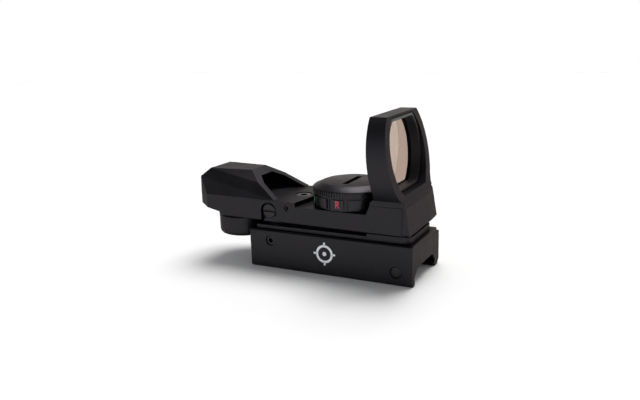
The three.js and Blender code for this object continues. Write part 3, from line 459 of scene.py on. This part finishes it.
side = [f for f in dial.faces if abs(f.normal.z) < 0.1 and f.calc_area() > 0
        and (f.calc_center_median() - dial_centre).xy.length > (groove - 0.1) * MM
        and pad_foot < f.calc_center_median().z / MM < pad_top]
half_pad = (PAD_STEPS / 2) / (PADS * STEPS)
half_rib = 0.5 / (PADS * STEPS)
for i in range(PADS):
    for place, half, lift in ((i, half_pad, PAD_LIFT), (i + 0.5, half_rib, RIB_LIFT)):
        chosen = [f for f in side if f.is_valid
                  and abs((turn_of(f, dial_centre, FIRST_PAD) - place / PADS + 0.5) % 1.0 - 0.5) < half]
        bmesh.ops.inset_region(dial, faces=chosen, thickness=DRAFT * MM, depth=lift * MM, use_even_offset=True)
print("dial side faces:", len(side), " radius mm:", round(dial_radius, 2))
make_piece(dial, "brightness_dial_shown", "brightness_dial", TURNED, sharp_angle=25)

# %% [markdown]
# ### Marks on the dial
# One letter and four levels for each colour, in a plain typeface, filled with paint. Each mark is a text object
# that is turned into a mesh, then stood up against its pad.

# %% Painted marks
NARROW = 0.8  # the marks are condensed to fit their pads


def text_mesh(text, height_mm, thick_mm):
    """One mark as a thin flat mesh, centred on the origin and facing up."""
    curve = bpy.data.curves.new("mark", "FONT")
    curve.body = text
    curve.size = height_mm * MM * 1.4
    curve.align_x = "CENTER"
    curve.align_y = "CENTER"
    curve.extrude = thick_mm * MM / 2
    curve.offset = 0.03 * MM
    text_object = bpy.data.objects.new("mark", curve)
    bpy.context.scene.collection.objects.link(text_object)
    bpy.context.view_layer.update()
    outline = bpy.data.meshes.new_from_object(text_object)
    bm = bmesh.new()
    bm.from_mesh(outline)
    bpy.data.objects.remove(text_object)
    bpy.data.curves.remove(curve)
    bpy.data.meshes.remove(outline)
    bmesh.ops.remove_doubles(bm, verts=bm.verts, dist=1e-7)
    bmesh.ops.scale(bm, vec=(NARROW, 1, 1), verts=bm.verts)
    return bm


MARKS = ["R", "", "1", "2", "3", "4", "", "G", "", "1", "2", "3", "4", ""]
MARK_HEIGHT, MARK_THICK, MARK_SUNK = 2.5, 0.1, 0.06
middle = (underside + top) / 2 * MM
for i, text in enumerate(MARKS):
    if not text:
        continue
    mark = text_mesh(text, MARK_HEIGHT, MARK_THICK)
    turn = FIRST_PAD + 2 * math.pi * i / PADS
    stand = Matrix.Rotation(turn + math.pi / 2, 4, "Z") @ Matrix.Rotation(math.pi / 2, 4, "X")
    out = Vector((math.cos(turn), math.sin(turn), 0)) * (dial_radius - MARK_SUNK) * MM
    place = Matrix.Translation(Vector((dial_centre.x, dial_centre.y, middle)) + out)
    bmesh.ops.transform(mark, matrix=place @ stand, verts=mark.verts)
    paint = RED_PAINT if i < PADS // 2 else GREEN_PAINT
    make_piece(mark, f"dial_mark_{i}", "brightness_dial", paint, stands_for=False)
print("marks:", sum(bool(m) for m in MARKS))

# %% [markdown]
# ## Battery cap
# A turned cap with a sloping crown, a fine knurl round its rim and a slot for a coin. The knurl is made by
# lifting every other face of the rim, and the slot is carved.

# %% The cap
TEETH = 84
TOOTH_LIFT, TOOTH_DRAFT = 0.26, 0.07
SKIRT_IN, SKIRT_OUT, SEAL_OUT = 10.2, 10.75, 11.45  # radii of the skirt, and of the recess for the seal
CROWN, CROWN_EDGE = 10.1, 10.3  # radii of the flat crown and of the end of its small chamfer
COIN_SLOT = {"half_width": 1.0, "half_length": 6.4, "depth": 1.1}
cap_low, cap_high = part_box("battery_cap")
cap_centre = centre_of("battery_cap")
cap_radius = (cap_high.x - cap_low.x) / 2 / MM
skirt, crown = cap_low.z / MM, cap_high.z / MM
rim_low, rim_top = crown - 3.45, crown - 1.4
root = cap_radius - 0.28  # radius of the rim between the teeth
tooth_low, tooth_top = rim_low + 0.15, rim_top - 0.25
inside, seal_seat = crown - 3.15, rim_low + 0.5
cap = lathe([
    (0, inside), (SKIRT_IN, inside), (SKIRT_IN, skirt), (SKIRT_OUT, skirt), (SKIRT_OUT, seal_seat),
    (SEAL_OUT, seal_seat), (SEAL_OUT, rim_low), (root, rim_low), (root, tooth_low), (root, tooth_top),
    (root + 0.1, rim_top - 0.1), (root - 0.1, rim_top + 0.1), (CROWN_EDGE, crown - 0.06), (CROWN, crown),
    (0, crown),
], TEETH * 2, cap_centre)
rim = [f for f in cap.faces if (f.calc_center_median() - cap_centre).xy.length > (root - 0.1) * MM
       and tooth_low < f.calc_center_median().z / MM < tooth_top]
rim.sort(key=lambda f: turn_of(f, cap_centre))
bmesh.ops.inset_individual(cap, faces=rim[::2], thickness=TOOTH_DRAFT * MM, depth=TOOTH_LIFT * MM,
                           use_even_offset=True)
slot_half = Vector((COIN_SLOT["half_width"], COIN_SLOT["half_length"], 0)) * MM
slot_cutter = block((cap_centre.x - slot_half.x, cap_centre.y - slot_half.y, (crown - COIN_SLOT["depth"]) * MM),
                    (cap_centre.x + slot_half.x, cap_centre.y + slot_half.y, (crown + 1) * MM))
cap = carve(cap, slot_cutter)
print("cap faces:", len(cap.faces), " rim faces:", len(rim))
make_piece(cap, "battery_cap_shown", "battery_cap", TURNED, sharp_angle=25)

# %% [markdown]
# ## Selector knob
# The knob under the rear picks one of the four reticles. It is a plain round knob with a soft lower edge and a
# small pointer tab, turned and then milled.

# %% The knob
knob_low, knob_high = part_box("selector_knob")
knob_x = centre_of("selector_knob").x
knob_radius = (knob_high.x - knob_low.x) / 2 / MM
bottom = knob_low.z / MM
shoulder = bottom + 7.15
shaft_end = knob_high.z / MM
ROUND = 1.5  # radius of the soft lower edge
SCREW_HOLE, HEAD_HOLE, SHAFT = 1.25, 2.4, 2.5  # radii: through the shaft, round the screw's head, of the shaft
RACE_IN, RACE_OUT = 6.5, 8.3  # radii of the groove that the detent ball runs in
head_seat, race_floor = bottom + 2.0, shoulder - 0.45
TAB_HALF, TAB_ROOT, TAB_EDGE = 2, 0.6, 0.4  # half width of the tab, depth of its root, width of its soft edges
corner = [(knob_radius - ROUND + ROUND * math.sin(a), bottom + ROUND - ROUND * math.cos(a))
          for a in (math.radians(15 * i) for i in range(7))]
knob = lathe([
    (SCREW_HOLE, head_seat), (HEAD_HOLE, head_seat), (HEAD_HOLE, bottom + 0.15), (HEAD_HOLE + 0.15, bottom),
    *corner, (knob_radius, shoulder - 0.2), (knob_radius - 0.2, shoulder), (RACE_OUT, shoulder),
    (RACE_OUT, race_floor), (RACE_IN, race_floor), (RACE_IN, shoulder), (SHAFT, shoulder), (SHAFT, shaft_end),
    (SCREW_HOLE, shaft_end), (SCREW_HOLE, head_seat),
], 96, (knob_x, 0))
tab = block((knob_x - TAB_HALF * MM, (knob_radius - TAB_ROOT) * MM, (bottom + 1.2) * MM),
            (knob_x + TAB_HALF * MM, knob_high.y, (shoulder - 1.4) * MM))
bmesh.ops.bevel(tab, geom=tab.edges[:], offset=TAB_EDGE * MM, offset_type="OFFSET", affect="EDGES",
                segments=3, profile=0.5, material=-1)
join(knob, tab)
print("knob faces:", len(knob.faces))
make_piece(knob, "selector_knob_shown", "selector_knob", ANODISED, sharp_angle=25)

# %% [markdown]
# ## Screws
# Each visible screw is spun with a small chamfer and its drive is carved: a slot, or a hexagon socket. They are
# made upright, then laid over where they point sideways.

# %% Screws that show
def screw(node, section, drive, direction):
    """section is (radius, depth under the face) in mm, face first; drive is a cutter that stands on z = 0."""
    body = lathe([(0, 0)] + [(r, -d) for r, d in section] + [(0, -section[-1][1])], 48)
    body = carve(body, drive)
    low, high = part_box(node)
    middle = (low + high) / 2
    turn = {"up": Matrix.Identity(4), "right": Matrix.Rotation(math.pi / 2, 4, "X"),
            "left": Matrix.Rotation(-math.pi / 2, 4, "X")}[direction]
    face = {"up": Vector((middle.x, middle.y, high.z)), "right": Vector((middle.x, low.y, middle.z)),
            "left": Vector((middle.x, high.y, middle.z))}[direction]
    bmesh.ops.transform(body, matrix=Matrix.Translation(face) @ turn, verts=body.verts)
    make_piece(body, f"{node}_shown", node, BLACKENED, sharp_angle=28)


def slot_drive(width_mm, depth_mm):
    """A cutter for a screwdriver slot, longer than any head and standing above its face."""
    return block((-10 * MM, -width_mm / 2 * MM, -depth_mm * MM), (10 * MM, width_mm / 2 * MM, 2 * MM))


def hex_drive(radius_mm, depth_mm):
    """A cutter for a hexagon socket, measured to its corners."""
    cutter = prism(6, radius_mm, depth_mm + 1)
    bmesh.ops.translate(cutter, verts=cutter.verts, vec=(0, 0, 1 * MM))
    return cutter


def headed(head, head_height, thread, length, chamfer):
    """The section of a screw with a cylindrical head: radii of the head and the thread, and the lengths."""
    return [(head - chamfer, 0), (head, chamfer), (head, head_height), (thread, head_height), (thread, length)]


def headless(thread, length, chamfer):
    """The section of a set screw."""
    return [(thread - chamfer, 0), (thread, chamfer), (thread, length)]


length = size_of("windage_screw").y / MM
screw("windage_screw", headed(2.5, 1.2, 2.0, length, 0.2), slot_drive(0.8, 0.8), "right")
length = size_of("elevation_screw").z / MM
screw("elevation_screw", headed(2.9, 1.5, 2.0, length, 0.25), hex_drive(1.4, 1.1), "up")
length = size_of("elevation_lock_screw").y / MM
screw("elevation_lock_screw", headless(1.0, length, 0.15), hex_drive(0.55, 1.2), "right")
length = size_of("base_set_screw").y / MM
screw("base_set_screw", headless(1.75, length, 0.25), hex_drive(0.95, 1.8), "right")
print("screws made")

# %% [markdown]
# The clamp screws have tall round heads with a knurled grip and a hexagon socket, and their tips show in the
# near wall as dull, slightly domed ends.

# %% Clamp screws
HEAD, HEAD_HEIGHT, SHANK = 3.55, 3.2, 2.0  # the head is measured between the teeth of its grip
GRIP_FROM, GRIP_TO = 0.3, 2.9  # depths under the head's face
GRIP_STEPS, GRIP_LIFT, GRIP_DRAFT = 72, 0.22, 0.05
for node in ("clamp_bolt_front", "clamp_bolt_rear"):
    length = size_of(node).y / MM
    body = lathe([
        (0, 0), (HEAD - 0.25, 0), (HEAD, -GRIP_FROM), (HEAD, -GRIP_TO), (HEAD, -HEAD_HEIGHT), (SHANK, -HEAD_HEIGHT),
        (SHANK, -length + 0.3), (SHANK - 0.3, -length + 0.08), (SHANK / 2, -length), (0, -length),
    ], GRIP_STEPS)
    grip = [f for f in body.faces if f.calc_center_median().xy.length > (HEAD - 0.15) * MM
            and -GRIP_TO * MM < f.calc_center_median().z < -GRIP_FROM * MM]
    grip.sort(key=lambda f: turn_of(f, Vector()))
    bmesh.ops.inset_individual(body, faces=grip[::2], thickness=GRIP_DRAFT * MM, depth=GRIP_LIFT * MM,
                               use_even_offset=True)
    body = carve(body, hex_drive(1.7, 2.0))
    low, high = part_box(node)
    middle = (low + high) / 2
    lay = Matrix.Translation((middle.x, high.y, middle.z)) @ Matrix.Rotation(-math.pi / 2, 4, "X")
    bmesh.ops.transform(body, matrix=lay, verts=body.verts)
    make_piece(body, f"{node}_shown", node, BLACKENED, sharp_angle=28)
print("clamp screws made")

# %% [markdown]
# ## Mark on the base
# A plain ring and dot, the common sign for an aiming point, printed in white on the near side of the base.

# %% Ring and dot
def printed_ring(inner_mm, outer_mm, thick_mm):
    """A flat ring that lies on z = 0."""
    return lathe([(inner_mm, 0), (outer_mm, 0), (outer_mm, thick_mm), (inner_mm, thick_mm), (inner_mm, 0)], 64)


INK = 0.05  # thickness of the print
DOT = 0.75
TICK_FROM, TICK_TO, TICK_HALF = 2.9, 4.0, 0.35
mark = printed_ring(2.35, 3.15, INK)
join(mark, lathe([(0, 0), (DOT, 0), (DOT, INK), (0, INK)], 32))
for turn in range(4):
    tick = block((TICK_FROM * MM, -TICK_HALF * MM, 0), (TICK_TO * MM, TICK_HALF * MM, INK * MM))
    bmesh.ops.rotate(tick, verts=tick.verts, cent=(0, 0, 0), matrix=Matrix.Rotation(turn * math.pi / 2, 3, "Z"))
    join(mark, tick)
base_low, base_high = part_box("rail_base")
ALONG, UP = 0.484, 7.6  # a little before the middle of the base's length, and mm above its foot
mark_at = Vector((base_low.x + ALONG * (base_high.x - base_low.x), base_low.y, base_low.z + UP * MM))
stand = Matrix.Translation(mark_at) @ Matrix.Rotation(math.pi / 2, 4, "X")
bmesh.ops.transform(mark, matrix=stand, verts=mark.verts)
make_piece(mark, "base_mark", "rail_base", WHITE_PAINT, stands_for=False)
print("mark at mm:", [round(c / MM, 1) for c in mark_at])

# %% [markdown]
# ## Floor, light and camera
# A plain pale floor in a room that is white behind the object and dim above and beside the viewer, with a white
# skirting all round. Satin black shows only what it reflects: level faces mirror the far wall and look grey, and
# faces that lean towards the viewer mirror the dim parts and look black. A broad, even light from above keeps the
# floor white, and a weak cool one beside the viewer keeps the near sides from going fully black.

# %% Floor
FLOOR_Z = LOW.z - 0.05 * MM  # just clear of the lowest piece
floor_bm = bmesh.new()
bmesh.ops.create_grid(floor_bm, x_segments=1, y_segments=1, size=1.0,
                      matrix=Matrix.Translation((0, 0, FLOOR_Z)))
floor_mesh = bpy.data.meshes.new("floor")
floor_bm.to_mesh(floor_mesh)
floor_bm.free()
floor = bpy.data.objects.new("floor", floor_mesh)
bpy.context.scene.collection.objects.link(floor)
FLOOR_CARD, tree, shader, where = new_finish("pale_card", IOR=1.4, Specular_IOR_Level=0.1)
mottle(tree, shader, where, "#f7f7f6", "#fbfbfa", 60.0, (0.85, 0.95))
floor_mesh.materials.append(FLOOR_CARD)
print("floor at mm:", round(FLOOR_Z / MM, 2))

# %% Light
scene = bpy.context.scene
world = bpy.data.worlds.new("white room")
world.use_nodes = True
tree = world.node_tree
# The Object coordinate of a world is a direction: its Z is the sine of the height above the horizon.
towards = add_node(tree, "ShaderNodeSeparateXYZ", {
    "Vector": add_node(tree, "ShaderNodeTexCoord").outputs["Object"]})
ceiling = add_node(tree, "ShaderNodeMapRange", {
    "Value": towards.outputs["Z"], "From Min": 0.2, "From Max": 0.7, "To Min": 1.0, "To Max": 0.32},
    interpolation_type="SMOOTHSTEP")
viewer_side = add_node(tree, "ShaderNodeMapRange", {
    "Value": towards.outputs["Y"], "From Min": -0.3, "From Max": 0.2, "To Min": 0.45, "To Max": 1.0},
    interpolation_type="SMOOTHSTEP")
skirting = add_node(tree, "ShaderNodeMapRange", {
    "Value": towards.outputs["Z"], "From Min": 0.08, "From Max": 0.2, "To Min": 1.0, "To Max": 0.0},
    interpolation_type="SMOOTHSTEP")
above = add_node(tree, "ShaderNodeMath", {
    0: ceiling.outputs["Result"], 1: viewer_side.outputs["Result"]}, operation="MULTIPLY")
strength = add_node(tree, "ShaderNodeMath", {
    0: above.outputs["Value"], 1: skirting.outputs["Result"]}, operation="MAXIMUM")
tree.nodes["Background"].inputs["Color"].default_value = linear("#ffffff")
tree.links.new(strength.outputs["Value"], tree.nodes["Background"].inputs["Strength"])
scene.world = world
scene.view_settings.view_transform = "Standard"


def sheet_of_light(name, place, aim, size, watts, colour):
    """A rectangular light at one place, facing another, in metres."""
    light = bpy.data.lights.new(name, "AREA")
    light.shape = "RECTANGLE"
    light.size, light.size_y = size
    light.energy = watts
    light.color = linear(colour)[:3]
    lamp = bpy.data.objects.new(name, light)
    scene.collection.objects.link(lamp)
    lamp.location = place
    lamp.rotation_euler = (Vector(aim) - Vector(place)).to_track_quat("-Z", "Y").to_euler()


# A sun with a wide disc, high up and a little behind, lights the whole floor evenly and with soft shadows.
overhead = bpy.data.lights.new("overhead", "SUN")
overhead.energy = 2.6
overhead.angle = math.radians(40)
overhead_lamp = bpy.data.objects.new("overhead", overhead)
scene.collection.objects.link(overhead_lamp)
overhead_lamp.rotation_euler = (math.radians(-25), 0, 0)
sheet_of_light("cool_beside", (-0.1, -0.4, 0.2), (0, 0, 0.02), (0.3, 0.2), 0.1, "#cfdcff")

# %% Camera
# The camera looks at a point near the middle of the object, from the near side, a little to the front and above.
AZIMUTH, ELEVATION, ROLL = (math.radians(a) for a in (27.38, 13.96, -1.81))
DISTANCE, TARGET = 0.2396, Vector((-0.0084, 0.0, 0.0175))
back = Vector((math.sin(AZIMUTH) * math.cos(ELEVATION), -math.cos(AZIMUTH) * math.cos(ELEVATION),
               math.sin(ELEVATION)))
camera_data = bpy.data.cameras.new("camera")
camera_data.sensor_width = 36.0
camera_data.lens = 38.32
camera_data.clip_start = 0.01
camera = bpy.data.objects.new("camera", camera_data)
scene.collection.objects.link(camera)
turn = back.to_track_quat("Z", "Y").to_matrix().to_4x4()
camera.matrix_world = Matrix.Translation(TARGET + back * DISTANCE) @ turn @ Matrix.Rotation(ROLL, 4, "Z")
scene.camera = camera
print("camera at mm:", [round(c / MM, 1) for c in camera.location])
